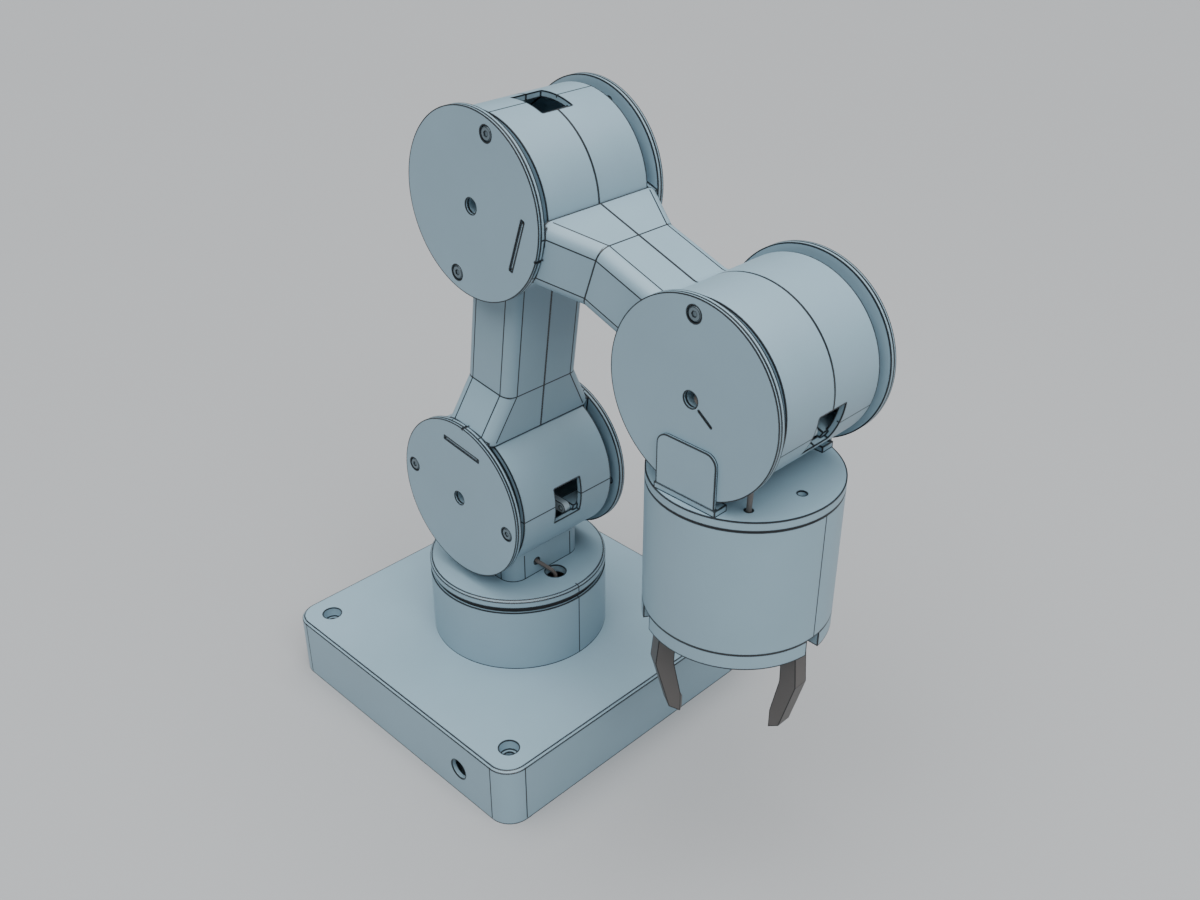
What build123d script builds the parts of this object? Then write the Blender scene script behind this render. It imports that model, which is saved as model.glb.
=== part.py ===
from build123d import *
from math import atan2, cos, degrees, hypot, radians, sin, sqrt
import os

# Five-axis desktop robot arm with a three-finger gripper.
# Millimetres, +Z up, +X forward, +Y to the arm's left.
# The origin is on the floor, on the axis of the waist.
# The arm is drawn in the pose in which it rests.

# Clearances and fits
gap = 0.3
running_fit = 0.04
hole_play = 0.2

# Fasteners: shank radius, head radius, head height
m3_shank = 1.5
m3_head = 2.75
m3_head_height = 3.0
m3_sunk_head = 3.0
m4_shank = 2.0
m4_head = 3.5
m4_head_height = 4.0
m6_shank = 3.0
m6_hole = 3.3
m6_counterbore = 5.5
m6_counterbore_depth = 6.5

# Base
base_side = 200.0
base_height = 39.0
base_corner = 13.6
base_edge_break = 1.4
base_wall = 3.5
base_top = 4.0
base_bolt_offset = base_side / 2 - 17.0
base_opening = 33.0
bottom_plate_thickness = 3.0
inlet_radius = 6.0
inlet_x = 59.0
inlet_z = 18.0
plate_screw_offset = base_side / 2 - 12.0

# Pedestal and waist
pedestal_radius = 52.75
pedestal_top = base_height + 41.0
pedestal_flange = 6.0
pedestal_screw_circle = 43.0
pedestal_bore = 46.5
waist_bearing_outer = 49.0
waist_bearing_inner = 42.5
waist_bearing_width = 7.0
seal_radius = 51.3
turntable_bottom = pedestal_top + 3.2
turntable_top = turntable_bottom + 5.2
turntable_edge_break = 1.2
turntable_hub_inner = 39.5
cable_hole_radius = 6.0
cable_hole_x = 33.0
drive_shaft = 4.0

# Shoulder neck
neck_half_x = 26.5
neck_half_y = 28.0
neck_corner = 10.0
neck_wall = 4.0
neck_floor = 5.6
neck_inlet_radius = 2.0
neck_inlet_y = -8.6
neck_inlet_z = turntable_top + 8.4

# Joint axes, all along Y
shoulder_x = 0.35
shoulder_z = 143.5
elbow_x = 24.65
elbow_z = 319.9
wrist_x = 166.5
wrist_z = 269.2

# Joint drums and the discs that turn beside them
drum_radius = 44.9
drum_half_width = 33.4
drum_wall = 3.4
end_wall = 10.0
disc_radius = 47.8
disc_inner_face = 38.0
disc_outer_face = 40.3
cover_outer_face = 41.9
hub_radius = 15.0
bearing_outer = 21.0
bearing_width = 7.0
web_hole = 12.0
centre_hole = 4.0
cover_screw_circle = disc_radius - 7.8
cover_counterbore = 4.0
cover_counterbore_depth = 1.1
thin_head_height = 1.0
cover_slot_length = 29.0
cover_slot_width = 2.2
cover_slot_offset = disc_radius - 13.6
slot_rib_width = 1.7
window_half_width = 9.7
window_half_angle = 14.2

# Arm links
link_half_depth = 17.6
link_half_width = 26.0
link_corner = 6.5
link_wall = 3.5
root_half_width = 38.9
root_start = 44.0
root_end = 68.9
root_bore = 45.5
link_blend = 6.0

# Wrist cap, hung from the wrist discs by two feet
foot_half_width = 18.2
foot_inner_face = 35.5
foot_outer_face = 43.8
foot_top = wrist_z - disc_radius - 0.4
cap_top = foot_top - 3.3
cap_bottom = cap_top - 4.9
cap_ring_inner = 31.0
ear_half_width = 17.3
ear_outer_face = 43.6
ear_top = cap_top + 30.3
ear_corner = 6.0
bracket_screw_offset = (foot_inner_face + foot_outer_face) / 2
bracket_screw_x = 12.0

# Gripper body below the cap
gripper_radius = 47.4
gripper_bottom = cap_bottom - 69.9
gripper_wall = 3.0
bulkhead_bottom = cap_bottom - 42.8
bulkhead_thickness = 3.0
roll_bearing_outer = 44.0
roll_bearing_inner = 35.5
roll_bearing_width = 7.0
roll_bearing_bottom = cap_bottom - 12.8
roll_motor_radius = 18.5

# Palm, cam and fingers
palm_bottom = gripper_bottom - 8.6
finger_width = 8.7
finger_outer = 40.1
finger_inner = 32.3
finger_bend = gripper_bottom - 32.6
finger_bend_outer = 43.0
finger_bend_inner = 33.2
finger_corner = gripper_bottom - 61.9
finger_corner_outer = 35.2
finger_bottom = gripper_bottom - 66.3
pad_top = finger_bottom + 11.2
pad_slant = 5.4
pad_face = 28.9
finger_travel = 24.0
cam_turn = 240.0
cam_radius = 35.2
cam_thickness = 3.5
pin_radius = 1.9
pin_circle = 31.5
cam_shaft = 3.0
guide_step = 2.0
guide_depth = 5.0
carriage_outer = 39.5
palm_screw_circle = 39.0
palm_screw_length = 14.0

# Cables
waist_wire = 1.2
gripper_wire = 1.3

# Actuators
motor_side = 42.3
actuator_radius = 20.0
actuator_ear_offset = 10.0

# Derived sizes
upper_lean = degrees(atan2(elbow_x - shoulder_x, elbow_z - shoulder_z))
upper_length = hypot(elbow_x - shoulder_x, elbow_z - shoulder_z)
fore_lean = degrees(atan2(wrist_x - elbow_x, wrist_z - elbow_z))
fore_length = hypot(wrist_x - elbow_x, wrist_z - elbow_z)
bearing_seat = drum_half_width - bearing_width
end_wall_inner = drum_half_width - end_wall
drum_bore = drum_radius - drum_wall
deck_top = base_height - base_top
mount_flange_z = base_height + pedestal_flange
mount_flange_thickness = 4.0
mount_lip_z = mount_flange_z + 25.5
waist_bearing_z = pedestal_top - waist_bearing_width

CENTRE_LOW = (Align.CENTER, Align.CENTER, Align.MIN)


def block(x0, x1, y0, y1, z0, z1):
    """Box between two corners."""
    size = Box(abs(x1 - x0), abs(y1 - y0), abs(z1 - z0))
    return Pos((x0 + x1) / 2, (y0 + y1) / 2, (z0 + z1) / 2) * size


def post(radius, z0, z1, x=0.0, y=0.0):
    """Upright cylinder."""
    return Pos(x, y, z0) * Cylinder(radius, z1 - z0, align=CENTRE_LOW)


def ring(outer, inner, z0, z1, x=0.0, y=0.0):
    """Upright ring."""
    return post(outer, z0, z1, x, y) - post(inner, z0 - 1, z1 + 1, x, y)


def bar(radius, y0, y1, x=0.0, z=0.0):
    """Cylinder lying along Y."""
    middle = Pos(x, (y0 + y1) / 2, z)
    return middle * Cylinder(radius, abs(y1 - y0), rotation=(90, 0, 0))


def bar_ring(outer, inner, y0, y1):
    """Ring whose axis is Y."""
    reach = 1 if y1 > y0 else -1
    return bar(outer, y0, y1) - bar(inner, y0 - reach, y1 + reach)


def rounded_plate(width, depth, corner, z0, z1):
    """Plate with rounded upright corners."""
    outline = RectangleRounded(width, depth, corner)
    return Pos(0, 0, z0) * extrude(outline, z1 - z0)


def at_joint(shape, x, z, lean):
    """Move a shape drawn round the Y axis to a joint, leaning from +Z towards +X."""
    return Pos(x, 0, z) * Rot(0, lean, 0) * shape


def turned(shape, angle, x=0.0, y=0.0):
    """Turn a shape about an upright axis."""
    return Pos(x, y, 0) * Rot(0, 0, angle) * shape


def group(shapes):
    """Put equal pieces together as one group of solids."""
    return Compound(children=[Solid(piece.solids()[0].wrapped) for piece in shapes])


def sunk_screw(length):
    """Countersunk M3 screw, its head up to z = 0 and its shank along +Z."""
    head = Cone(m3_sunk_head, m3_shank, m3_sunk_head - m3_shank, align=CENTRE_LOW)
    shank = post(m3_shank, m3_sunk_head - m3_shank, length)
    socket = extrude(RegularPolygon(1.15, 6, major_radius=True), 1.0)
    return head + shank - socket


def socket_screw(shank_radius, head_radius, head_height, length):
    """Socket-head screw, its head below z = 0 and its shank along +Z."""
    head = post(head_radius, -head_height, 0)
    rim = head.edges().filter_by(GeomType.CIRCLE).sort_by(Axis.Z)[0]
    head = chamfer(rim, 0.12 * head_radius)
    shank = post(shank_radius, 0, length)
    socket = extrude(RegularPolygon(0.43 * head_radius, 6, major_radius=True), 0.55 * head_height)
    return head + shank - Pos(0, 0, -head_height) * socket


parts = {}

# Base: a flat square box, open below, with a pillar for a bolt in each corner
housing = rounded_plate(base_side, base_side, base_corner, 0, base_height)
top_edges = housing.faces().sort_by(Axis.Z)[-1].edges()
housing = chamfer(top_edges, base_edge_break)
inner_side = base_side - 2 * base_wall
housing -= rounded_plate(inner_side, inner_side, base_corner - base_wall, -1, deck_top)

corner_points = [(sx * base_bolt_offset, sy * base_bolt_offset) for sx in (-1, 1) for sy in (-1, 1)]
side_points = [(plate_screw_offset, 0), (0, plate_screw_offset), (-plate_screw_offset, 0),
               (0, -plate_screw_offset)]
core = rounded_plate(base_side - 2, base_side - 2, base_corner - 1, bottom_plate_thickness, deck_top + 1)
wall_reach = (base_side / 2 - 2) / base_bolt_offset
for x, y in corner_points:
    pillar = Pos(x, y, 0) * rounded_plate(24, 24, 6, bottom_plate_thickness, deck_top + 1)
    pillar += block(x, x * wall_reach, y, y * wall_reach, bottom_plate_thickness, deck_top + 1)
    housing += pillar & core
side_post = 15.0
post_reach = (base_side / 2 - 1 - side_post / 2) / plate_screw_offset
for x, y in side_points:
    side_block = rounded_plate(side_post, side_post, 4, bottom_plate_thickness, deck_top + 1)
    housing += Pos(x * post_reach, y * post_reach, 0) * side_block
for x, y in corner_points:
    housing -= post(m6_hole, -1, base_height + 1, x, y)
    housing -= post(m6_counterbore, base_height - m6_counterbore_depth, base_height + 1, x, y)
for x, y in side_points:
    housing -= post(m3_shank, bottom_plate_thickness - 1, 16, x, y)
housing -= post(base_opening, deck_top - 1, base_height + 1)
housing -= Pos(inlet_x, -base_side / 2, inlet_z) * Cylinder(inlet_radius, 4 * base_wall, rotation=(90, 0, 0))
for k in range(6):
    housing -= turned(post(m4_shank + hole_play, deck_top - 1, base_height + 1, pedestal_screw_circle), 60 * k + 30)
parts["base_housing"] = housing

# Bottom plate, let in between the walls
plate_side = inner_side - 2 * hole_play
plate = rounded_plate(plate_side, plate_side, base_corner - base_wall, 0, bottom_plate_thickness)
for x, y in corner_points:
    plate -= post(m6_hole, -1, bottom_plate_thickness + 1, x, y)
for x, y in side_points:
    plate -= post(m3_shank + hole_play, -1, bottom_plate_thickness + 1, x, y)
    plate -= Pos(x, y, 0) * Cone(m3_sunk_head, m3_shank, m3_sunk_head - m3_shank, align=CENTRE_LOW)
board_x = 38.5 - base_side / 2
board_half_x = 22.0
board_half_y = 38.0
board_points = [(board_x + sx * 18, sy * 34) for sx in (-1, 1) for sy in (-1, 1)]
standoff_top = 9.0
board_thickness = 1.6
peg_radius = 1.3
for x, y in board_points:
    plate += post(3.2, bottom_plate_thickness, standoff_top, x, y)
    plate += post(peg_radius, bottom_plate_thickness, standoff_top + board_thickness + 1, x, y)
parts["bottom_plate"] = plate

parts["plate_screws"] = group([Pos(x, y, 0) * sunk_screw(14) for x, y in side_points])

# Control board on the pegs of the plate, with a processor, a heat sink and connectors
board_face = standoff_top + board_thickness
board = block(board_x - board_half_x, board_x + board_half_x, -board_half_y, board_half_y,
              standoff_top, board_face)
for x, y in board_points:
    board -= post(peg_radius + running_fit, standoff_top - 1, board_face + 1, x, y)
board += block(board_x - 8, board_x + 8, -8, 8, board_face, board_face + 2)
board += block(board_x - 14, board_x + 14, 12, 26, board_face, board_face + 7)
for k in range(4):
    board -= block(board_x - 11.5 + 6 * k, board_x - 8.5 + 6 * k, 11, 27, board_face + 2, board_face + 8)
for k in range(5):
    board += block(board_x + 12, board_x + 20, -27 + 7 * k, -22 + 7 * k, board_face, board_face + 6)
parts["control_board"] = board

# Pedestal that carries the waist bearing
pedestal = post(pedestal_radius, base_height, pedestal_top)
pedestal -= post(base_opening + 1, base_height - 1, pedestal_top + 1)
pedestal -= post(pedestal_bore, mount_flange_z, pedestal_top + 1)
pedestal -= post(waist_bearing_outer, waist_bearing_z, pedestal_top + 1)
for k in range(6):
    pedestal -= turned(post(m4_shank + hole_play, base_height - 1, mount_flange_z + 1, pedestal_screw_circle),
                       60 * k + 30)
parts["waist_pedestal"] = pedestal

# Cup that holds the waist gearmotor in the middle of the pedestal
cup_radius = 24.0
cup_step = mount_flange_z + 13.0
cup = post(pedestal_bore - hole_play, mount_flange_z, mount_flange_z + mount_flange_thickness)
cup += post(cup_radius + 1.5, mount_flange_z, cup_step)
cup += post(cup_radius, mount_flange_z, mount_lip_z + 2.5)
cup -= post(21 + hole_play, mount_flange_z - 1, mount_lip_z)
cup -= post(10, mount_lip_z - 1, mount_lip_z + 4)
for k in range(6):
    cup -= turned(post(m4_shank, mount_flange_z - 1, mount_flange_z + mount_flange_thickness + 1,
                       pedestal_screw_circle), 60 * k + 30)
for k in range(3):
    cup -= turned(post(6, mount_flange_z - 1, mount_flange_z + mount_flange_thickness + 1, 35), 120 * k)
parts["waist_motor_mount"] = cup

pedestal_screw = Pos(0, 0, deck_top) * socket_screw(m4_shank, m4_head, m4_head_height, 14)
parts["pedestal_screws"] = group([turned(Pos(pedestal_screw_circle, 0, 0) * pedestal_screw, 60 * k + 30)
                                  for k in range(6)])

# Waist gearmotor: a square motor with a round gearbox on top
motor_outline = Rectangle(motor_side, motor_side)
motor_outline = chamfer(motor_outline.vertices(), 4)
motor_bottom = 8.0
motor_top = mount_flange_z - 1
waist_gearmotor = Pos(0, 0, motor_bottom) * extrude(motor_outline, motor_top - motor_bottom)
waist_gearmotor += post(21, motor_top, mount_lip_z)
waist_gearmotor += block(-8, 8, -motor_side / 2 - 5, -motor_side / 2 + 1, 10, 18)
spigot_end = mount_lip_z - 13.5
waist_gearmotor -= post(drive_shaft + running_fit, spigot_end - 1, mount_lip_z + 1)
parts["waist_gearmotor"] = waist_gearmotor

parts["waist_bearing"] = ring(waist_bearing_outer, waist_bearing_inner, waist_bearing_z, pedestal_top)

# Seal between the pedestal and the turntable, with two fine grooves round it
seal_top = turntable_bottom - gap
seal = ring(seal_radius, seal_radius - 3.5, pedestal_top, seal_top)
for level in (1.0, 2.0):
    groove_z = pedestal_top + level * (seal_top - pedestal_top) / 3
    seal -= ring(seal_radius + 1, seal_radius - 0.6, groove_z - 0.15, groove_z + 0.15)
parts["waist_seal"] = seal

# Slip ring on the cup, which takes the current to the turning side
slip_ring_bottom = cup_step
slip_ring_face = cup_step + 6.0
slip_ring_inner = cup_radius + running_fit
slip = ring(40, slip_ring_inner, slip_ring_face - 3, slip_ring_face)
slip += ring(cup_radius + 3, slip_ring_inner, slip_ring_bottom, slip_ring_face)
for radius in (29.0, 33.0, 37.0):
    slip -= ring(radius + 2.9, radius + 1.1, slip_ring_face - 0.8, slip_ring_face + 1)
parts["slip_ring"] = slip

# Turntable: a round plate with a bearing hub and a driven spigot below
turntable = post(pedestal_radius, turntable_bottom, turntable_top)
upper_rim = turntable.edges().filter_by(GeomType.CIRCLE).sort_by(Axis.Z)[-1]
turntable = chamfer(upper_rim, turntable_edge_break)
turntable += ring(waist_bearing_inner - running_fit, turntable_hub_inner, waist_bearing_z, turntable_bottom)
turntable += ring(45, turntable_hub_inner, pedestal_top + gap, turntable_bottom)
turntable += Pos(0, 0, mount_lip_z + 6) * Cone(drive_shaft, 9, turntable_bottom - mount_lip_z - 6,
                                              align=CENTRE_LOW)
turntable += post(drive_shaft, spigot_end, turntable_bottom)
turntable -= post(cable_hole_radius, turntable_bottom - 1, turntable_top + 1, cable_hole_x)
neck_screw_points = [(sx * 15, sy * 17) for sx in (-1, 1) for sy in (-1, 1)]
for x, y in neck_screw_points:
    turntable -= post(m4_shank + hole_play, turntable_bottom - 1, turntable_top + 1, x, y)
parts["turntable"] = turntable

neck_screw = socket_screw(m4_shank, m4_head, m4_head_height, 10)
parts["turntable_screws"] = group([Pos(x, y, turntable_bottom) * neck_screw for x, y in neck_screw_points])

# Window cut in the front of a drum, drawn with the window towards +Z
window_half_height = drum_radius * sin(radians(window_half_angle))
window = block(-window_half_height, window_half_height, -window_half_width, window_half_width,
               drum_bore - 8, drum_radius + 5)


def bearing_pocket(side):
    """Recess for a bearing and the hole behind it, in the end wall of a drum."""
    pocket = bar(bearing_outer, side * bearing_seat, side * (drum_half_width + 1))
    return pocket + bar(web_hole, side * (end_wall_inner - 1), side * (drum_half_width + 1))


# Shoulder housing: hollow neck and drum in one, with a loose end wall on the right
neck_outline = RectangleRounded(2 * neck_half_x, 2 * neck_half_y, neck_corner)
neck = Pos(0, 0, turntable_top) * extrude(neck_outline, shoulder_z - turntable_top)
shoulder_drum = at_joint(bar(drum_radius, -drum_half_width, drum_half_width), shoulder_x, shoulder_z, 0)
shoulder_housing = neck + shoulder_drum
neck_cavity = RectangleRounded(2 * (neck_half_x - neck_wall), 2 * (neck_half_y - neck_wall - 1),
                               neck_corner - neck_wall)
shoulder_housing -= Pos(0, 0, turntable_top + neck_floor) * extrude(
    neck_cavity, shoulder_z - turntable_top - neck_floor)
shoulder_housing -= at_joint(bar(drum_bore, -drum_half_width - 1, end_wall_inner), shoulder_x, shoulder_z, 0)
shoulder_housing -= at_joint(bearing_pocket(1), shoulder_x, shoulder_z, 0)
shoulder_housing -= at_joint(window, shoulder_x, shoulder_z, 90.5)
for x, y in neck_screw_points:
    shoulder_housing -= post(m4_shank, turntable_top - 1, turntable_top + neck_floor + 1, x, y)
neck_inlet = Pos(neck_half_x, neck_inlet_y, neck_inlet_z)
shoulder_housing -= neck_inlet * Cylinder(neck_inlet_radius, 4 * neck_wall, rotation=(0, 90, 0))


def lugs(y0, y1, height):
    """Two lugs inside a drum, to which the ears of an actuator are screwed."""
    pair = block(actuator_ear_offset - height / 2, actuator_ear_offset + height / 2, y0, y1, 31, drum_bore + 1)
    pair += block(actuator_ear_offset - height / 2, actuator_ear_offset + height / 2, y0, y1,
                  -drum_bore - 1, -31)
    pair &= bar(drum_bore + 1, y0, y1)
    pair -= bar(1.25, y0 - 1, y1 + 1, actuator_ear_offset, 36)
    pair -= bar(1.25, y0 - 1, y1 + 1, actuator_ear_offset, -36)
    return pair


ear_near = 2.0
ear_far = 6.5
shoulder_housing += at_joint(lugs(ear_far, end_wall_inner + 1, 5.0), shoulder_x, shoulder_z, 90.5)
parts["shoulder_housing"] = shoulder_housing

end_plate = bar(drum_bore, -end_wall_inner, -drum_half_width) - bearing_pocket(-1)
for angle in (45, 135, 225, 315):
    hole = bar(3, -end_wall_inner + 1, -drum_half_width - 1, 0, 32)
    end_plate -= Rot(0, angle, 0) * hole
parts["shoulder_end_wall"] = at_joint(end_plate, shoulder_x, shoulder_z, 0)


def actuator():
    """Geared motor of one joint, drawn round the Y axis with its output on the left."""
    body = bar(actuator_radius, -8, end_wall_inner)
    body += bar(actuator_radius - 2, -21, -7)
    ear = block(actuator_ear_offset - 3.3, actuator_ear_offset + 3.3, ear_near, ear_far, -36, 36)
    for end in (-1, 1):
        ear += bar(3.3, ear_near, ear_far, actuator_ear_offset, 36 * end)
    ear &= bar(drum_bore - 0.2, ear_near, ear_far)
    body += ear
    for end in (-1, 1):
        body -= bar(1.4, ear_near - 1, ear_far + 1, actuator_ear_offset, 36 * end)
    for k in range(10):
        cooling = block(-1.2, 1.2, -20, -9, actuator_radius - 3.4, actuator_radius)
        body -= Rot(0, 36 * k, 0) * cooling
    body -= bar(drive_shaft + running_fit, 8, end_wall_inner + 1)
    return body


def ball_bearing(side):
    """Bearing of one side of a joint."""
    race = bar_ring(bearing_outer, hub_radius, side * bearing_seat, side * drum_half_width)
    groove_radius = (bearing_outer + hub_radius) / 2
    face = bar_ring(groove_radius + 1.4, groove_radius - 1.4, side * (drum_half_width - 0.6),
                    side * (drum_half_width + 0.5))
    return race - face


def hub(side):
    """Stub that turns inside the bearing, with a bore along its axis."""
    stub = bar(hub_radius - running_fit, side * (bearing_seat + gap), side * disc_outer_face)
    collar = bar(hub_radius + 2, side * (drum_half_width + gap), side * disc_outer_face)
    return stub + collar


def joint_disc(side):
    """Disc beside a drum, with its hub."""
    return bar(disc_radius, side * disc_inner_face, side * disc_outer_face) + hub(side)


def disc_cuts(side, screw_angles):
    """Bore, tapped holes and rim notch of a joint disc."""
    cuts = bar(centre_hole, side * (bearing_seat - 2), side * (disc_outer_face + 1))
    for angle in screw_angles:
        tapped = bar(m4_shank, side * (disc_inner_face - 1), side * (disc_outer_face + 1), 0,
                     cover_screw_circle)
        cuts += Rot(0, angle, 0) * tapped
    cuts += block(-0.4, 0.4, min(side * 37, side * 43), max(side * 37, side * 43), disc_radius - 0.7,
                  disc_radius + 1)
    return cuts


def slot_rib(side):
    """Raised rib of a joint disc that shows in the slot of its cover."""
    half = cover_slot_length / 2 - 0.5
    rise = slot_rib_width / 2
    outline = Polygon((-half, 0), (-half + 1.2, rise), (half - 1.2, rise), (half, 0), (half - 1.2, -rise),
                      (-half + 1.2, -rise), align=None)
    rib = Rot(90, 0, 0) * extrude(outline, 1.2, both=True)
    return Pos(0, side * disc_outer_face, cover_slot_offset) * rib


def cover(side, screw_angles):
    """Thin cover plate on a joint disc."""
    plate = bar(disc_radius, side * disc_outer_face, side * cover_outer_face)
    plate -= bar(centre_hole, side * (disc_outer_face - 1), side * (cover_outer_face + 1))
    for angle in screw_angles:
        hole = bar(m4_shank + hole_play, side * (disc_outer_face - 1), side * (cover_outer_face + 1), 0,
                   cover_screw_circle)
        sink = bar(cover_counterbore, side * (cover_outer_face - cover_counterbore_depth),
                   side * (cover_outer_face + 1), 0, cover_screw_circle)
        plate -= Rot(0, angle, 0) * (hole + sink)
    low = min(side * 38, side * 44)
    slot = block(-cover_slot_length / 2, cover_slot_length / 2, low, low + 6,
                 cover_slot_offset - cover_slot_width / 2, cover_slot_offset + cover_slot_width / 2)
    plate -= slot
    plate -= block(-0.4, 0.4, low, low + 6, disc_radius - 0.7, disc_radius + 1)
    return plate


def cover_screws(screw_angles, x, z, lean):
    """The four thin-head screws that hold the two covers of one joint."""
    head_seat = cover_outer_face - cover_counterbore_depth
    length = head_seat - disc_inner_face - 0.2
    screw = socket_screw(m4_shank, m4_head, thin_head_height, length)
    found = []
    for side in (-1, 1):
        for angle in screw_angles:
            laid = Rot(-90 * side, 0, 0) * Rot(180, 0, 0) * screw
            placed = Pos(0, side * head_seat, cover_screw_circle) * laid
            found.append(at_joint(Rot(0, angle, 0) * placed, x, z, lean))
    return group(found)


def link_solid(length, depth, width_root, width, corner, start, flare):
    """Form of a link: wide at the root, narrow along the shaft, drawn along +Z."""
    right_side = [(width_root, flare), (width, root_end), (width, length)]
    left_side = [(-y, z) for y, z in reversed(right_side)]
    foot = [(-width_root, start), (width_root, start)] if start < flare else []
    side_view = Polygon(*right_side, *left_side, *foot, align=None)
    body = extrude(Plane.YZ * side_view, depth, both=True)
    long_edges = [e for e in body.edges() if abs(abs(e.center().X) - depth) < 0.01
                  and e.bounding_box().size.Z > 3]
    return fillet(long_edges, corner)


def link_half(length, side):
    """One half of an arm link, from its joint disc to half of the next drum."""
    screw_angles = (90, -90)
    body = link_solid(length, link_half_depth, root_half_width, link_half_width, link_corner, 30, root_start)
    body -= bar(root_bore, -disc_inner_face, disc_inner_face)
    body -= bar(disc_radius + 1, -60, -disc_outer_face)
    body -= bar(disc_radius + 1, disc_outer_face, 60)
    far_drum = bar(drum_radius, -drum_half_width, drum_half_width, 0, length)
    body = body + far_drum
    meeting = [e for e in body.edges() if e.geom_type not in (GeomType.LINE, GeomType.CIRCLE)
               and e.center().Z > length - drum_radius - 8 and e.center().Z < length
               and abs(hypot(e.center().X, e.center().Z - length)) < drum_radius + 3]
    try:
        body = fillet(body.edges().filter_by(lambda e: e in meeting), link_blend)
    except Exception as problem:
        print("link blend left out:", problem)
    hollow_start = root_bore + 6
    inner = link_solid(length, link_half_depth - link_wall, root_half_width - 9,
                       link_half_width - link_wall, link_corner - link_wall, hollow_start, hollow_start)
    body -= inner
    body -= bar(drum_bore, -end_wall_inner, end_wall_inner, 0, length)
    far_end = Pos(0, 0, length)
    body -= far_end * bearing_pocket(side)
    body -= far_end * window
    if side > 0:
        body += far_end * lugs(ear_far, end_wall_inner + 1, 5.0)
    for z in seam_levels(length):
        body += bar(4.5, -link_half_width + 1, link_half_width - 1, 0, z)
    keep = block(-60, 60, min(0, side * 60), max(0, side * 60), -60, length + 60)
    body = body & keep
    cheek = block(-16, 16, min(side * (disc_inner_face - 3), side * (disc_outer_face - 1)),
                  max(side * (disc_inner_face - 3), side * (disc_outer_face - 1)), 18, 46)
    body += cheek & bar(disc_radius - 0.5, -60, 60)
    body += joint_disc(side)
    body += slot_rib(side)
    body -= disc_cuts(side, screw_angles)
    for z in seam_levels(length):
        if side > 0:
            body -= bar(m3_shank + hole_play, -1, 60, 0, z)
            body -= bar(m3_head + hole_play, link_half_width - 4, 60, 0, z)
        else:
            body -= bar(m3_shank, -16, 1, 0, z)
    return body


def seam_levels(length):
    """Heights along a link of the screws that join its halves."""
    return (root_end + 9, length - drum_radius - 12)


def link_screws(length, x, z, lean):
    """Screws that join the two halves of a link, put in from the left."""
    screw = socket_screw(m3_shank, m3_head, m3_head_height, link_half_width - 4 + 14)
    laid = Rot(90, 0, 0) * screw
    found = []
    for level in seam_levels(length):
        found.append(at_joint(Pos(0, link_half_width - 4, level) * laid, x, z, lean))
    return group(found)


def shaft(x, z):
    """Steel shaft from the actuator into the left hub."""
    rod = bar(drive_shaft, 9, disc_outer_face - 2)
    flat = block(-5, 5, 8, 22, drive_shaft - 0.5, drive_shaft + 1)
    return at_joint(rod - flat, x, z, 0)


# Shoulder joint
parts["shoulder_gearmotor"] = at_joint(actuator(), shoulder_x, shoulder_z, 90.5)
parts["shoulder_bearing_left"] = at_joint(ball_bearing(1), shoulder_x, shoulder_z, 0)
parts["shoulder_bearing_right"] = at_joint(ball_bearing(-1), shoulder_x, shoulder_z, 0)

# Upper arm
upper = (shoulder_x, shoulder_z, upper_lean)
parts["upper_arm_left"] = at_joint(link_half(upper_length, 1), *upper)
parts["upper_arm_right"] = at_joint(link_half(upper_length, -1), *upper)
parts["upper_arm_screws"] = link_screws(upper_length, *upper)
parts["shoulder_cover_left"] = at_joint(cover(1, (90, -90)), *upper)
parts["shoulder_cover_right"] = at_joint(cover(-1, (90, -90)), *upper)
parts["shoulder_cover_screws"] = cover_screws((90, -90), *upper)
parts["shoulder_shaft"] = shaft(shoulder_x, shoulder_z)
parts["elbow_gearmotor"] = at_joint(actuator(), elbow_x, elbow_z, upper_lean)
parts["elbow_bearing_left"] = at_joint(ball_bearing(1), elbow_x, elbow_z, 0)
parts["elbow_bearing_right"] = at_joint(ball_bearing(-1), elbow_x, elbow_z, 0)

# Forearm
fore = (elbow_x, elbow_z, fore_lean)
parts["forearm_left"] = at_joint(link_half(fore_length, 1), *fore)
parts["forearm_right"] = at_joint(link_half(fore_length, -1), *fore)
parts["forearm_screws"] = link_screws(fore_length, *fore)
parts["elbow_cover_left"] = at_joint(cover(1, (90, -90)), *fore)
parts["elbow_cover_right"] = at_joint(cover(-1, (90, -90)), *fore)
parts["elbow_cover_screws"] = cover_screws((90, -90), *fore)
parts["elbow_shaft"] = shaft(elbow_x, elbow_z)
parts["wrist_gearmotor"] = at_joint(actuator(), wrist_x, wrist_z, fore_lean)
parts["wrist_bearing_left"] = at_joint(ball_bearing(1), wrist_x, wrist_z, 0)
parts["wrist_bearing_right"] = at_joint(ball_bearing(-1), wrist_x, wrist_z, 0)

# Wrist: the local +Z of its discs points down, towards the gripper
wrist = (wrist_x, wrist_z, 180)
wrist_angles = (0, 180)

# Way of the gripper cable, measured from the wrist axis
cable_gap_y = -(drum_half_width + disc_inner_face) / 2
cable_slot_y = -(disc_inner_face + 0.8)
cap_drop = cap_top - wrist_z
cable_way = [(0, -28.5, 0), (0, cable_slot_y, 0), (12.8, cable_slot_y, -9.6), (17.6, cable_gap_y, -13.2),
             (31, cable_gap_y, -34), (24.8, -28, cap_drop), (24.8, -28, cap_drop - 7), (17.6, -19.9, cap_drop - 9)]


def cord(points, radius, bend):
    """Round cord along a path with rounded bends."""
    path = FilletPolyline(*points, radius=bend)
    start = Plane(origin=path @ 0, z_dir=path % 0)
    return sweep(start * Circle(radius), path=path)


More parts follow.
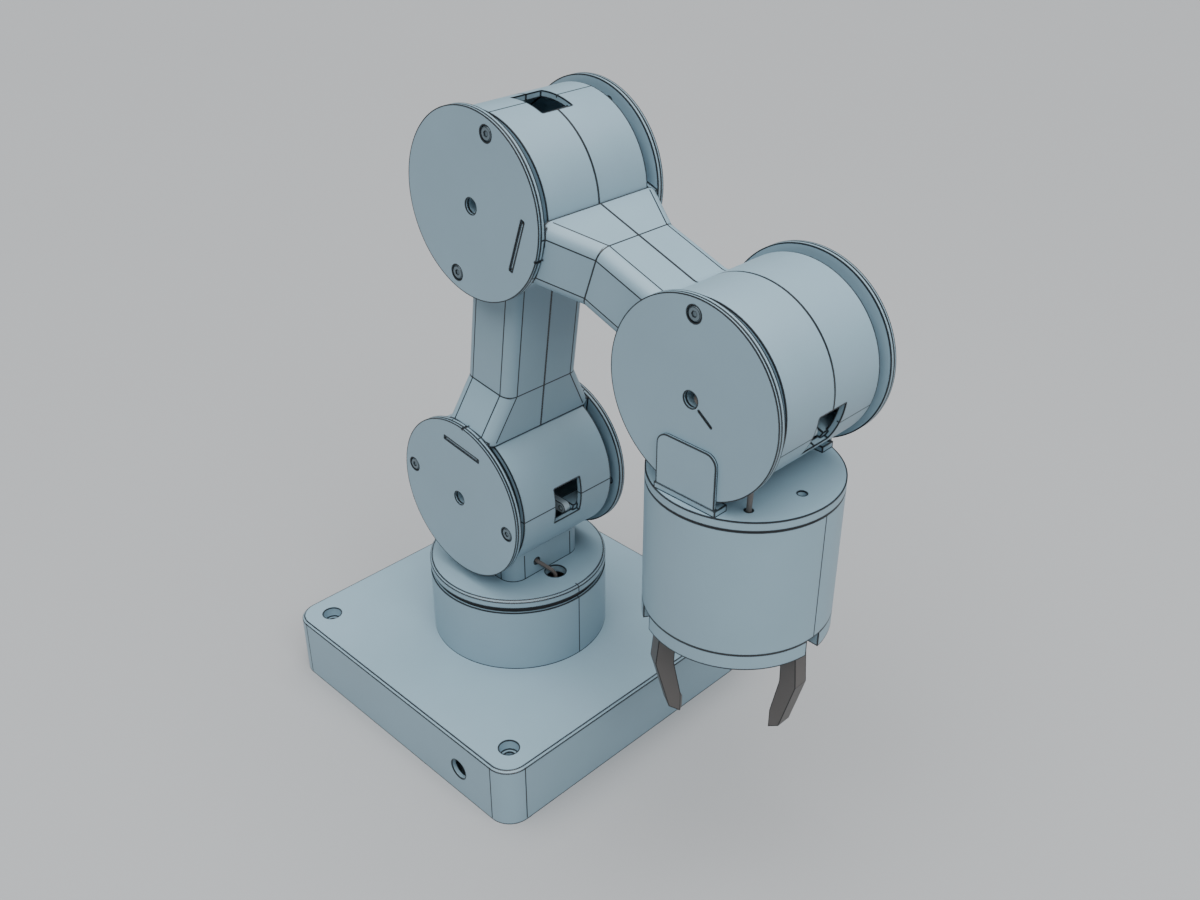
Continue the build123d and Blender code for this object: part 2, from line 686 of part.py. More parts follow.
for side, hand in ((-1, "right"), (1, "left")):
    disc = joint_disc(side) + slot_rib(side) - disc_cuts(side, wrist_angles)
    disc = at_joint(disc, *wrist)
    plate = at_joint(cover(side, wrist_angles), *wrist)
    if side < 0:
        slit_turn = degrees(atan2(12.8, -9.6))
        slot_box = block(-1.7, 1.7, cable_slot_y - 1.7, -disc_inner_face + 6, 0, 16)
        disc -= at_joint(slot_box, wrist_x, wrist_z, slit_turn)
        drop = block(-1.7, 1.7, cable_slot_y - 1.7, -33, 12, 24)
        disc -= at_joint(drop, wrist_x, wrist_z, slit_turn)
        slit = block(-0.35, 0.35, -cover_outer_face - 1, -disc_outer_face + 1, 5.9, 15.3)
        plate -= at_joint(slit, wrist_x, wrist_z, slit_turn)
    parts["wrist_disc_" + hand] = disc
    parts["wrist_cover_" + hand] = plate
    outline = RectangleRounded(2 * ear_half_width, 2 * (ear_top - cap_top), ear_corner)
    ear = Rot(90, 0, 0) * extrude(outline, ear_outer_face - cover_outer_face)
    ear_y = ear_outer_face if side > 0 else -cover_outer_face
    ear = Pos(wrist_x, ear_y, cap_top) * ear
    ear &= block(wrist_x - 60, wrist_x + 60, -60, 60, cap_top, ear_top + 1)
    foot = block(wrist_x - foot_half_width, wrist_x + foot_half_width,
                 min(side * foot_inner_face, side * foot_outer_face),
                 max(side * foot_inner_face, side * foot_outer_face), cap_top, foot_top)
    ear += foot
    for x in (-bracket_screw_x, bracket_screw_x):
        ear -= post(m3_shank, cap_top - 1, foot_top - 0.4, wrist_x + x, side * bracket_screw_offset)
    parts["wrist_bracket_" + hand] = ear

parts["wrist_cover_screws"] = cover_screws(wrist_angles, *wrist)
parts["wrist_shaft"] = shaft(wrist_x, wrist_z)

cap = post(gripper_radius, cap_bottom, cap_top, wrist_x)
cap += ring(roll_bearing_inner - running_fit, cap_ring_inner, roll_bearing_bottom, cap_bottom, wrist_x)
cap -= post(2.15, cap_top - 4, cap_top + 1, wrist_x + 33.1)
cap -= post(gripper_wire + 0.5, cap_bottom - 1, cap_top + 1, wrist_x + 24.8, -28)
wire_turn = degrees(atan2(-28, 24.8))
cable_notch = block(28, 38, -2.2, 2.2, cap_bottom - 6.5, cap_bottom)
cap -= Pos(wrist_x, 0, 0) * Rot(0, 0, wire_turn) * cable_notch
for side in (-1, 1):
    for x in (-bracket_screw_x, bracket_screw_x):
        place = Pos(wrist_x + x, side * bracket_screw_offset, cap_bottom)
        cap -= place * post(m3_shank + hole_play, -1, cap_top - cap_bottom + 1)
        cap -= place * Cone(m3_sunk_head, m3_shank, m3_sunk_head - m3_shank, align=CENTRE_LOW)
parts["wrist_cap"] = cap
parts["bracket_screws"] = group([Pos(wrist_x + x, y, cap_bottom) * sunk_screw(7.2)
                                 for x in (-bracket_screw_x, bracket_screw_x)
                                 for y in (-bracket_screw_offset, bracket_screw_offset)])

roll_motor_bottom = bulkhead_bottom + bulkhead_thickness + 3
roll = post(roll_motor_radius, roll_motor_bottom, cap_bottom - 14, wrist_x)
roll += post(roll_motor_radius - 1.5, cap_bottom - 15, cap_bottom, wrist_x)
roll += post(22, cap_bottom - 3, cap_bottom, wrist_x)
roll -= post(drive_shaft + running_fit, roll_motor_bottom - 1, roll_motor_bottom + 14, wrist_x)
parts["roll_gearmotor"] = roll

gripper_cable = Pos(wrist_x, 0, wrist_z) * cord(cable_way, gripper_wire, 2.2)
parts["gripper_cable"] = gripper_cable

# Cable from the slip ring up through the turntable and into the neck
waist_way = [(cable_hole_x, 0, slip_ring_face + 4), (cable_hole_x, 0, turntable_bottom + 2.8),
             (cable_hole_x - 1, -1.8, turntable_top + 1.1),
             (neck_half_x + 1, neck_inlet_y + 0.4, neck_inlet_z - 0.4),
             (neck_half_x - 8, neck_inlet_y - 0.3, neck_inlet_z + 0.4)]
waist_cable = cord(waist_way, waist_wire, 2.5)
brush = Pos(cable_hole_x, 0, 0) * rounded_plate(11, 7, 1.5, slip_ring_face + gap, slip_ring_face + 7)
parts["waist_cable"] = waist_cable + brush

# Gripper body, which turns below the cap
body = post(gripper_radius, gripper_bottom, cap_bottom - gap, wrist_x)
body -= post(gripper_radius - gripper_wall, gripper_bottom - 1, bulkhead_bottom, wrist_x)
body -= post(roll_bearing_outer - 1, bulkhead_bottom + bulkhead_thickness, cap_bottom, wrist_x)
body -= post(roll_bearing_outer, roll_bearing_bottom, cap_bottom, wrist_x)
body += post(drive_shaft, bulkhead_bottom, roll_motor_bottom + 12, wrist_x)
for k in range(3):
    boss = post(3.3, gripper_bottom, gripper_bottom + 13, palm_screw_circle)
    boss += block(palm_screw_circle, gripper_radius - 1, -3.3, 3.3, gripper_bottom, gripper_bottom + 13)
    body += turned(boss, 60 + 120 * k, wrist_x)
    body -= turned(post(m3_shank, gripper_bottom - 1, gripper_bottom + 10, palm_screw_circle), 60 + 120 * k, wrist_x)
body -= post(4, bulkhead_bottom - 1, bulkhead_bottom + bulkhead_thickness + 1, wrist_x - 28)
parts["gripper_body"] = body
parts["roll_bearing"] = ring(roll_bearing_outer, roll_bearing_inner, roll_bearing_bottom,
                             roll_bearing_bottom + roll_bearing_width, wrist_x)

cam_bottom = gripper_bottom + gap
cam_top = cam_bottom + cam_thickness
grip_motor = post(18, cam_top + 1, bulkhead_bottom, wrist_x)
grip_motor -= post(cam_shaft + running_fit, cam_top, cam_top + 13, wrist_x)
parts["gripper_motor"] = grip_motor

# Palm below the body, with a stepped guide for each finger that runs out through the rim
lower_slot = finger_width / 2 + gap
upper_slot = lower_slot + guide_step
guide_level = gripper_bottom - guide_depth
carriage_inner = pin_circle - pin_radius - 0.1
lower_slot_start = finger_inner - finger_travel - gap
upper_slot_start = carriage_inner - finger_travel - gap
palm_screw_seat = palm_bottom + m3_head_height + 0.4
palm = post(gripper_radius, palm_bottom, gripper_bottom)
for k in range(3):
    lower = block(lower_slot_start, gripper_radius + 6, -lower_slot, lower_slot, palm_bottom - 1, gripper_bottom + 1)
    upper_cut = block(upper_slot_start, carriage_outer + gap, -upper_slot, upper_slot, guide_level,
                      gripper_bottom + 1)
    palm -= turned(lower + upper_cut, 120 * k)
    screw_hole = post(m3_shank + hole_play, palm_bottom - 1, gripper_bottom + 1, palm_screw_circle)
    screw_hole += post(m3_head + hole_play, palm_bottom - 1, palm_screw_seat, palm_screw_circle)
    palm -= turned(screw_hole, 60 + 120 * k)
parts["palm"] = Pos(wrist_x, 0, 0) * palm
palm_screw = Pos(palm_screw_circle, 0, palm_screw_seat) * socket_screw(m3_shank, m3_head, m3_head_height,
                                                                       palm_screw_length)
parts["palm_screws"] = group([turned(palm_screw, 60 + 120 * k, wrist_x) for k in range(3)])


def spiral_slot():
    """Slot of the cam: the radius falls evenly while the angle grows."""
    fall = finger_travel / cam_turn
    half = pin_radius + gap

    def edge_point(angle, side):
        radius = pin_circle - fall * angle
        along = radians(angle)
        point = Vector(radius * cos(along), radius * sin(along))
        slope = degrees(fall)
        heading = Vector(-slope * cos(along) - radius * sin(along), -slope * sin(along) + radius * cos(along))
        across = Vector(heading.Y, -heading.X).normalized()
        return point + across * (half * side)

    angles = [cam_turn * k / 16 for k in range(17)]
    outer = [edge_point(a, 1) for a in angles]
    inner = [edge_point(a, -1) for a in reversed(angles)]
    start = Vector(pin_circle, 0)
    finish_angle = radians(cam_turn)
    finish = Vector((pin_circle - finger_travel) * cos(finish_angle), (pin_circle - finger_travel) * sin(finish_angle))
    slot = make_face([Spline(*outer), Line(outer[-1], inner[0]), Spline(*inner), Line(inner[-1], outer[0])])
    channel = extrude(slot, cam_thickness + 2)
    channel += post(half, 0, cam_thickness + 2, start.X, start.Y)
    channel += post(half, 0, cam_thickness + 2, finish.X, finish.Y)
    return Pos(0, 0, cam_bottom - 1) * channel


# Scroll cam that moves the three fingers together
cam = post(cam_radius, cam_bottom, cam_top) + post(cam_shaft, cam_bottom, cam_top + 11)
for k in range(3):
    cam -= turned(spiral_slot(), 120 * k)
parts["scroll_cam"] = Pos(wrist_x, 0, 0) * cam

# Finger: carriage in the palm, leg that leans outwards, slanting tip and a wedge-shaped pad
finger_top = gripper_bottom - gap
profile = Polygon((finger_outer, finger_top), (finger_bend_outer, finger_bend),
                  (finger_corner_outer, finger_corner), (pad_face, finger_bottom), (pad_face, pad_top),
                  (finger_bend_inner, finger_bend - 0.8), (finger_inner, finger_top), align=None)
finger = extrude(Plane.XZ * profile, finger_width / 2, both=True)
pad_root = pad_face + 0.5
pad_ridge = pad_face - finger_width / 2 * sqrt(1 / 3)
pad_plan = Polygon((pad_root, -finger_width / 2), (pad_root, finger_width / 2), (pad_face, finger_width / 2),
                   (pad_ridge, 0), (pad_face, -finger_width / 2), align=None)
pad_side = Polygon((pad_face, finger_bottom), (pad_root, finger_bottom + 1), (pad_root, pad_top),
                   (pad_face, pad_top), (pad_ridge, pad_top - pad_slant), (pad_ridge, finger_bottom), align=None)
pad = Pos(0, 0, finger_bottom) * extrude(pad_plan, pad_top - finger_bottom, dir=(0, 0, 1))
finger += pad & extrude(Plane.XZ * pad_side, finger_width, both=True)
carriage_half = finger_width / 2 + guide_step
finger += block(carriage_inner, carriage_outer, -carriage_half, carriage_half, guide_level + gap, finger_top)
finger += post(pin_radius, finger_top - 1, cam_top, pin_circle)
for k in range(3):
    parts["finger_" + str(k + 1)] = turned(finger, 120 * k, wrist_x)

os.makedirs("parts", exist_ok=True)
for name, shape in parts.items():
    solids = shape.solids()
    print(name, len(solids), round(sum(s.volume for s in solids) / 1000, 2), "cm3")
    export_step(shape, "parts/" + name + ".step")
print(len(parts), "pieces")
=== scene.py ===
# %% [markdown]
# # A five-axis desktop robot arm
# This lesson dresses a robot arm whose solid pieces are already made. Each piece comes in with its true size
# and place. What is left is the look: the satin blue-grey shells, the dark fingers, the steel, the cables, the
# light and the camera. All lengths in Blender are metres.

# %% Bring in the pieces
import math
import bmesh
import bpy
from mathutils import Matrix, Vector

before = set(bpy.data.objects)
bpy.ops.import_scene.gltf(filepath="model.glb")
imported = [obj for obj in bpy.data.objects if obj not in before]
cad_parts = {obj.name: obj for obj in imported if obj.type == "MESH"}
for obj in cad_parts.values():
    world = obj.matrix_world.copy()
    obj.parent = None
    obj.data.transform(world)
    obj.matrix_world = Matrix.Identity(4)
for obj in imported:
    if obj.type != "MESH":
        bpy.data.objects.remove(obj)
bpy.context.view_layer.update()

# %% [markdown]
# ## Sizes that the finishes need
# The hairlines of the shells follow the edges of the pieces, so the script repeats the few sizes that say
# where those edges are. They are kept in millimetres, as a maker would measure them, and turned to metres.

# %% Sizes of the arm
MM = 0.001
base_half = 100.0
base_corner = 13.6
base_height = 39.0
pedestal_radius = 52.75
shoulder = (0.35, 143.5)
elbow = (24.65, 319.9)
wrist = (166.5, 269.2)
gripper_radius = 47.4
drum_radius = 44.9
drum_half_width = 33.4
link_half_depth = 17.6
link_half_width = 26.0
link_corner = 6.5
root_start = 44.0
root_end = 68.9
root_half_width = 38.9
hairline = 0.36
hairline_softness = 0.08


def lean_and_length(start, end):
    """How far a link leans from upright towards the front, in radians, and how long it is."""
    dx = end[0] - start[0]
    dz = end[1] - start[1]
    return math.atan2(dx, dz), math.hypot(dx, dz)


upper_lean, upper_length = lean_and_length(shoulder, elbow)
fore_lean, fore_length = lean_and_length(elbow, wrist)
print("upper arm", round(upper_length, 1), "mm, forearm", round(fore_length, 1), "mm")

# %% [markdown]
# ## Small helpers for node trees
# Every finish here is a chain of nodes. Two short helpers keep the chains readable: one adds a node and sets
# its values, the other makes a node group with named sockets, which several materials can share.

# %% Node helpers
def add_node(tree, kind, values=None, **settings):
    """Add a node, set its properties, and set or link its inputs."""
    node = tree.nodes.new(kind)
    for name, value in settings.items():
        setattr(node, name, value)
    for key, value in (values or {}).items():
        if isinstance(value, bpy.types.NodeSocket):
            tree.links.new(value, node.inputs[key])
        else:
            node.inputs[key].default_value = value
    return node


def new_group(name, inputs, outputs):
    """A shader node group with its inputs and outputs named."""
    group = bpy.data.node_groups.new(name, "ShaderNodeTree")
    for label, kind, default in inputs:
        socket = group.interface.new_socket(label, in_out="INPUT", socket_type=kind)
        if default is not None:
            socket.default_value = default
    for label, kind in outputs:
        group.interface.new_socket(label, in_out="OUTPUT", socket_type=kind)
    return group, group.nodes.new("NodeGroupInput"), group.nodes.new("NodeGroupOutput")


FLOAT = "NodeSocketFloat"
VECTOR = "NodeSocketVector"
print("node helpers ready")

# %% [markdown]
# ## Grain of a moulded surface
# A moulded or sprayed surface is never one flat tone. It has cloudy patches that differ a little in tone and
# gloss, and a fine grain that catches the light. A picture could hold this, but noise nodes give it at any
# size with no seams. One group puts out the tone, the roughness and the height of the grain.

# %% Grain group
grain_group, g_in, g_out = new_group(
    "surface grain",
    [("Position", VECTOR, None), ("Cloud Scale", FLOAT, 18.0), ("Grain Scale", FLOAT, 2600.0),
     ("Tone Spread", FLOAT, 0.05), ("Roughness", FLOAT, 0.45), ("Roughness Spread", FLOAT, 0.1)],
    [("Tone", FLOAT), ("Roughness", FLOAT), ("Height", FLOAT)],
)
t = grain_group
grain_share = 0.35
place = g_in.outputs["Position"]
cloud = add_node(t, "ShaderNodeTexNoise", {"Vector": place, "Scale": g_in.outputs["Cloud Scale"],
                                           "Detail": 4.0, "Roughness": 0.6})
grain = add_node(t, "ShaderNodeTexNoise", {"Vector": place, "Scale": g_in.outputs["Grain Scale"],
                                           "Detail": 2.0})
centred_cloud = add_node(t, "ShaderNodeMath", {0: cloud.outputs["Fac"], 1: 0.5}, operation="SUBTRACT")
tone = add_node(t, "ShaderNodeMath", {0: centred_cloud.outputs[0], 1: g_in.outputs["Tone Spread"], 2: 1.0},
                operation="MULTIPLY_ADD")
mixed = add_node(t, "ShaderNodeMath", {0: grain.outputs["Fac"], 1: grain_share, 2: centred_cloud.outputs[0]},
                 operation="MULTIPLY_ADD")
rough = add_node(t, "ShaderNodeMath", {0: mixed.outputs[0], 1: g_in.outputs["Roughness Spread"],
                                       2: g_in.outputs["Roughness"]}, operation="MULTIPLY_ADD", use_clamp=True)
t.links.new(tone.outputs[0], g_out.inputs["Tone"])
t.links.new(rough.outputs[0], g_out.inputs["Roughness"])
t.links.new(grain.outputs["Fac"], g_out.inputs["Height"])
print("group:", grain_group.name)

# %% [markdown]
# ## Dark lines along the edges
# In the picture every edge of the arm is drawn by a thin dark line, as the shadow in a fine joint draws it.
# Modelling hundreds of tiny grooves would be slow. A Bevel node tells how far the normal would turn if the
# edge were rounded, so the difference from the true normal is a mask that is white only beside an edge. The
# node looks about with a few rays, and a low threshold makes the mask full as soon as one or two of them find
# another face. Most of its rays stay near the middle, so the radius has to be a few times the width that the
# line should have on each side of an edge.

# %% Edge line group
line_threshold = 0.0015
full_line_ratio = 4.0
edge_group, g_in, g_out = new_group(
    "edge line", [("Radius", FLOAT, 0.0005), ("Threshold", FLOAT, line_threshold)], [("Mask", FLOAT)])
t = edge_group
rounded = add_node(t, "ShaderNodeBevel", {"Radius": g_in.outputs["Radius"]}, samples=16)
flat = add_node(t, "ShaderNodeNewGeometry")
agreement = add_node(t, "ShaderNodeVectorMath", {0: rounded.outputs["Normal"], 1: flat.outputs["Normal"]},
                     operation="DOT_PRODUCT")
turned = add_node(t, "ShaderNodeMath", {0: 1.0, 1: agreement.outputs["Value"]}, operation="SUBTRACT")
span = add_node(t, "ShaderNodeMath", {0: g_in.outputs["Threshold"], 1: full_line_ratio}, operation="MULTIPLY")
mask = add_node(t, "ShaderNodeMapRange", {"Value": turned.outputs[0], "From Min": g_in.outputs["Threshold"],
                                          "From Max": span.outputs[0]})
t.links.new(mask.outputs[0], g_out.inputs["Mask"])
print("group:", edge_group.name)

# %% [markdown]
# ## Hairlines where a round meets a flat
# The picture also draws a line where a flat face runs into a rounding, and where two halves meet. There is
# no sharp edge to find there, so each line is said by a thin box: where the surface passes through the box,
# it is dark. The distance to the box decides the mask, with a soft border so that it doesn't look jagged.

# %% Hairline group
hairline_group, g_in, g_out = new_group("hairline", [("Position", VECTOR, None), ("Centre", VECTOR, None),
                                                     ("Half Size", VECTOR, None)], [("Mask", FLOAT)])
t = hairline_group
away = add_node(t, "ShaderNodeVectorMath", {0: g_in.outputs["Position"], 1: g_in.outputs["Centre"]},
                operation="SUBTRACT")
away = add_node(t, "ShaderNodeVectorMath", {0: away.outputs[0]}, operation="ABSOLUTE")
outside = add_node(t, "ShaderNodeVectorMath", {0: away.outputs[0], 1: g_in.outputs["Half Size"]},
                   operation="SUBTRACT")
axes = add_node(t, "ShaderNodeSeparateXYZ", {0: outside.outputs[0]})
widest = add_node(t, "ShaderNodeMath", {0: axes.outputs[0], 1: axes.outputs[1]}, operation="MAXIMUM")
widest = add_node(t, "ShaderNodeMath", {0: widest.outputs[0], 1: axes.outputs[2]}, operation="MAXIMUM")
mask = add_node(t, "ShaderNodeMapRange", {"Value": widest.outputs[0], "From Min": 0.0,
                                          "From Max": hairline_softness * MM, "To Min": 1.0, "To Max": 0.0})
t.links.new(mask.outputs[0], g_out.inputs["Mask"])
print("group:", hairline_group.name)

# %% [markdown]
# ## Coordinates of a leaning link
# A line that runs along a leaning link is easiest to say in the link's own directions. This group turns the
# object's coordinates into them and folds left on right and front on back, because a link is the same on
# both sides. One line then stands for four.

# %% Link coordinates group
link_group, g_in, g_out = new_group("link coordinates", [("Position", VECTOR, None), ("Joint", VECTOR, None),
                                                         ("Turn", VECTOR, None)], [("Folded", VECTOR)])
t = link_group
own = add_node(t, "ShaderNodeMapping", {"Vector": g_in.outputs["Position"], "Location": g_in.outputs["Joint"],
                                        "Rotation": g_in.outputs["Turn"]}, vector_type="TEXTURE")
axes = add_node(t, "ShaderNodeSeparateXYZ", {0: own.outputs[0]})
across = add_node(t, "ShaderNodeMath", {0: axes.outputs[0]}, operation="ABSOLUTE")
aside = add_node(t, "ShaderNodeMath", {0: axes.outputs[1]}, operation="ABSOLUTE")
folded = add_node(t, "ShaderNodeCombineXYZ", {0: across.outputs[0], 1: aside.outputs[0], 2: axes.outputs[2]})
t.links.new(folded.outputs[0], g_out.inputs["Folded"])
print("group:", link_group.name)

# %% [markdown]
# ## The shell finish
# The shells are one satin blue-grey, with the same dark line on every edge. A material per family of pieces
# would repeat the same chain, so a function builds it and takes only the hairlines that this family has. The
# covers have small holes close together, so their edge lines are a little finer.

# %% Shell material
shell_colour = (0.238, 0.352, 0.422, 1.0)
shell_roughness = 0.42
line_colour = (0.012, 0.015, 0.018, 1.0)


def group_node(tree, group, values):
    """Place a node group and set or link its inputs."""
    node = tree.nodes.new("ShaderNodeGroup")
    node.node_tree = group
    for key, value in values.items():
        if isinstance(value, bpy.types.NodeSocket):
            tree.links.new(value, node.inputs[key])
        else:
            node.inputs[key].default_value = value
    return node


def metres(point):
    """A point in millimetres as a tuple in metres."""
    return tuple(value * MM for value in point)


def finish_material(name, colour, rough, spread=0.1, metallic=0.0, tone_spread=0.16, cloud_scale=18.0,
                    grain_scale=2600.0, grain_height=0.00002, bump=0.25, line=line_colour, lines=(),
                    joint=(0, 0), turn=(0, 0, 0), edge_radius=1.3):
    """A material with cloudy tone, fine grain, dark edges and the given hairlines."""
    material = bpy.data.materials.new(name)
    material.use_nodes = True
    tree = material.node_tree
    shader = tree.nodes["Principled BSDF"]
    shader.inputs["Metallic"].default_value = metallic
    place = add_node(tree, "ShaderNodeTexCoord").outputs["Object"]
    surface = group_node(tree, grain_group, {
        "Position": place, "Cloud Scale": cloud_scale, "Grain Scale": grain_scale, "Tone Spread": tone_spread,
        "Roughness": rough, "Roughness Spread": spread})
    toned = add_node(tree, "ShaderNodeVectorMath", {0: colour[:3], "Scale": surface.outputs["Tone"]},
                     operation="SCALE")
    edge = group_node(tree, edge_group, {"Radius": edge_radius * MM})
    dark = edge.outputs["Mask"]
    if lines:
        own = group_node(tree, link_group, {"Position": place, "Joint": metres((joint[0], 0, joint[1])),
                                            "Turn": turn}).outputs["Folded"]
    for centre, half, tilt in lines:
        way = own
        if tilt:
            way = add_node(tree, "ShaderNodeMapping", {"Vector": own, "Location": metres(tilt[0]),
                                                       "Rotation": tilt[1]}, vector_type="TEXTURE").outputs[0]
        drawn = group_node(tree, hairline_group, {"Position": way, "Centre": metres(centre),
                                                  "Half Size": metres(half)})
        dark = add_node(tree, "ShaderNodeMath", {0: dark, 1: drawn.outputs["Mask"]},
                        operation="MAXIMUM").outputs[0]
    mixed = add_node(tree, "ShaderNodeMix", {"Factor": dark, 6: toned.outputs[0], 7: line}, data_type="RGBA")
    tree.links.new(mixed.outputs[2], shader.inputs["Base Color"])
    tree.links.new(surface.outputs["Roughness"], shader.inputs["Roughness"])
    relief = add_node(tree, "ShaderNodeBump", {"Height": surface.outputs["Height"], "Strength": bump,
                                               "Distance": grain_height})
    tree.links.new(relief.outputs["Normal"], shader.inputs["Normal"])
    return material


def link_lines(length):
    """Hairlines of a link: rounded corners, bend, parting line and seam of the far drum."""
    through = 1
    run_into_drum = 6
    splay_half_width = 8.5
    splay_inset = 5
    past_drum = 60
    drum_line_depth = 1.5
    shaft_end = length - drum_radius + run_into_drum
    middle = (root_end + shaft_end) / 2
    half = (shaft_end - root_end) / 2
    flat_width = link_half_width - link_corner
    flat_depth = link_half_depth - link_corner
    splay = math.atan2(root_half_width - link_half_width, root_end - root_start)
    reach = (root_end - root_start) / math.cos(splay)
    return [
        ((link_half_depth, flat_width, middle), (through, hairline, half), None),
        ((flat_depth, link_half_width, middle), (hairline, through, half), None),
        ((0, 0, root_end), (link_half_depth + through, link_half_width + through, hairline), None),
        ((link_half_depth, 0, -reach / 2), (through, hairline, reach / 2),
         ((0, flat_width, root_end), (splay, 0, 0))),
        ((flat_depth, root_half_width - splay_inset, (root_start + root_end) / 2),
         (hairline, splay_half_width, (root_end - root_start) / 2), None),
        ((0, 0, length / 2), (past_drum, hairline, length), None),
        ((0, 0, length + drum_radius), (hairline, drum_half_width + through, drum_line_depth), None),
    ]


shell = finish_material("satin blue-grey shell", shell_colour, shell_roughness)
upper_shell = finish_material("shell of the upper arm", shell_colour, shell_roughness,
                              lines=link_lines(upper_length), joint=shoulder, turn=(0, upper_lean, 0))
fore_shell = finish_material("shell of the forearm", shell_colour, shell_roughness,
                             lines=link_lines(fore_length), joint=elbow, turn=(0, fore_lean, 0))
flat_side = base_half - base_corner
base_line_depth = 1.5
base_line_half = base_height / 2 - 1
base_shell = finish_material("shell of the base", shell_colour, shell_roughness, lines=[
    ((flat_side, base_half, base_height / 2), (hairline, base_line_depth, base_line_half), None),
    ((base_half, flat_side, base_height / 2), (base_line_depth, hairline, base_line_half), None),
])
pedestal_middle = 60
pedestal_half_height = 30
wall_depth = 3
round_shell = finish_material("shell of the pedestal", shell_colour, shell_roughness, lines=[
    ((pedestal_radius, 0, pedestal_middle), (wall_depth, hairline, pedestal_half_height), None)])
gripper_middle = 178
gripper_half_height = 36
gripper_lines = [((gripper_radius, 0, gripper_middle), (wall_depth, hairline, gripper_half_height), None)]
gripper_shell = finish_material("shell of the gripper", shell_colour, shell_roughness, joint=(wrist[0], 0),
                                lines=gripper_lines)
neck_half_depth = 26.5
neck_half_width = 28.0
neck_corner = 10.0
neck_middle = 96
neck_half_height = 9
neck_line_depth = 1
neck_lines = [
    ((drum_radius, 0, shoulder[1]), (wall_depth, drum_half_width + 1, hairline), None),
    ((neck_half_depth - neck_corner, neck_half_width, neck_middle),
     (hairline, neck_line_depth, neck_half_height), None),
    ((neck_half_depth, neck_half_width - neck_corner, neck_middle),
     (neck_line_depth, hairline, neck_half_height), None),
]
neck_shell = finish_material("shell of the shoulder", shell_colour, shell_roughness, joint=(shoulder[0], 0),
                             lines=neck_lines)
cover_shell = finish_material("shell of the covers", shell_colour, shell_roughness, edge_radius=1.1)
print("shell materials made")

# %% [markdown]
# ## Fingers, steel, paint and rubber
# The other finishes use the same chain with their own values: dark rough plastic for the fingers, plain steel
# for shafts and bearings, blued steel for screws, aluminium for the motor mount and the scroll cam, a
# blue-grey paint for the motors that is made lighter than the shells as painted light for the shaded insides
# of the drums, green for the board, brown resin for the slip ring, black rubber for the seal and a dull sheath
# for the cables.

# %% Other materials
finger_plastic = finish_material("dark finger plastic", (0.095, 0.088, 0.084, 1), 0.5, tone_spread=0.3,
                                 line=(0.01, 0.009, 0.009, 1), edge_radius=0.9)
steel = finish_material("plain steel", (0.34, 0.34, 0.35, 1), 0.34, metallic=1.0, cloud_scale=120.0,
                        grain_scale=6000.0, line=(0.02, 0.02, 0.02, 1), edge_radius=0.5)
screw_steel = finish_material("blued screw steel", (0.15, 0.2, 0.23, 1), 0.42, metallic=0.5, cloud_scale=150.0,
                              grain_scale=6000.0, edge_radius=0.4)
aluminium = finish_material("machined aluminium", (0.62, 0.62, 0.63, 1), 0.36, metallic=1.0, cloud_scale=60.0,
                            edge_radius=0.25)
# The motor colour is painted light: it is lighter than the shells to stand in for light that does not reach
# the motors deep in the drums.
motor_paint_with_painted_light = finish_material("blue-grey motor paint with painted light", (0.42, 0.52, 0.57, 1), 0.45, tone_spread=0.2,
                              edge_radius=0.7)
board_green = finish_material("green board", (0.02, 0.12, 0.05, 1), 0.4, cloud_scale=90.0, tone_spread=0.4)
slip_resin = finish_material("slip ring resin", (0.22, 0.17, 0.09, 1), 0.4)
seal_rubber = finish_material("black seal rubber", (0.014, 0.014, 0.015, 1), 0.6, tone_spread=0.3)
cable_sheath = finish_material("brownish-grey cable sheath", (0.13, 0.115, 0.105, 1), 0.55, cloud_scale=200.0,
                               grain_scale=4000.0, tone_spread=0.5, edge_radius=0.0)
print("materials:", len(bpy.data.materials))

# %% [markdown]
# ## Which piece has which finish
# The pieces came in with plain colours. Each takes its finish by name, and the rest of the shells share the
# plain shell. The first colour is taken off before the finish goes on, and the count that is printed at the
# end should be the number of pieces.

# %% Give each piece its finish
own_finish = {
    "base_housing": base_shell, "waist_pedestal": round_shell, "turntable": round_shell,
    "shoulder_housing": neck_shell, "upper_arm_left": upper_shell, "upper_arm_right": upper_shell,
    "forearm_left": fore_shell, "forearm_right": fore_shell, "gripper_body": gripper_shell,
    "finger_1": finger_plastic, "finger_2": finger_plastic, "finger_3": finger_plastic,
    "control_board": board_green, "slip_ring": slip_resin, "waist_seal": seal_rubber,
    "gripper_cable": cable_sheath, "waist_cable": cable_sheath, "waist_motor_mount": aluminium,
    "scroll_cam": aluminium,
}
for name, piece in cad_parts.items():
    finish = own_finish.get(name, shell)
    if "_cover_" in name:
        finish = cover_shell
    if "bearing" in name or name.endswith("_shaft"):
        finish = steel
    if name.endswith("screws"):
        finish = screw_steel
    if "motor" in name and name != "waist_motor_mount":
        finish = motor_paint_with_painted_light
    piece.data.materials.clear()
    piece.data.materials.append(finish)
print("finished pieces:", sum(1 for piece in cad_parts.values() if piece.data.materials))

# %% [markdown]
# ## Floor
# The arm stands on a plain pale floor. It is one flat face, made by extruding an edge to the far side. It is
# wide enough to fill the picture, because a bench with edges of its own would draw the eye away from the arm.

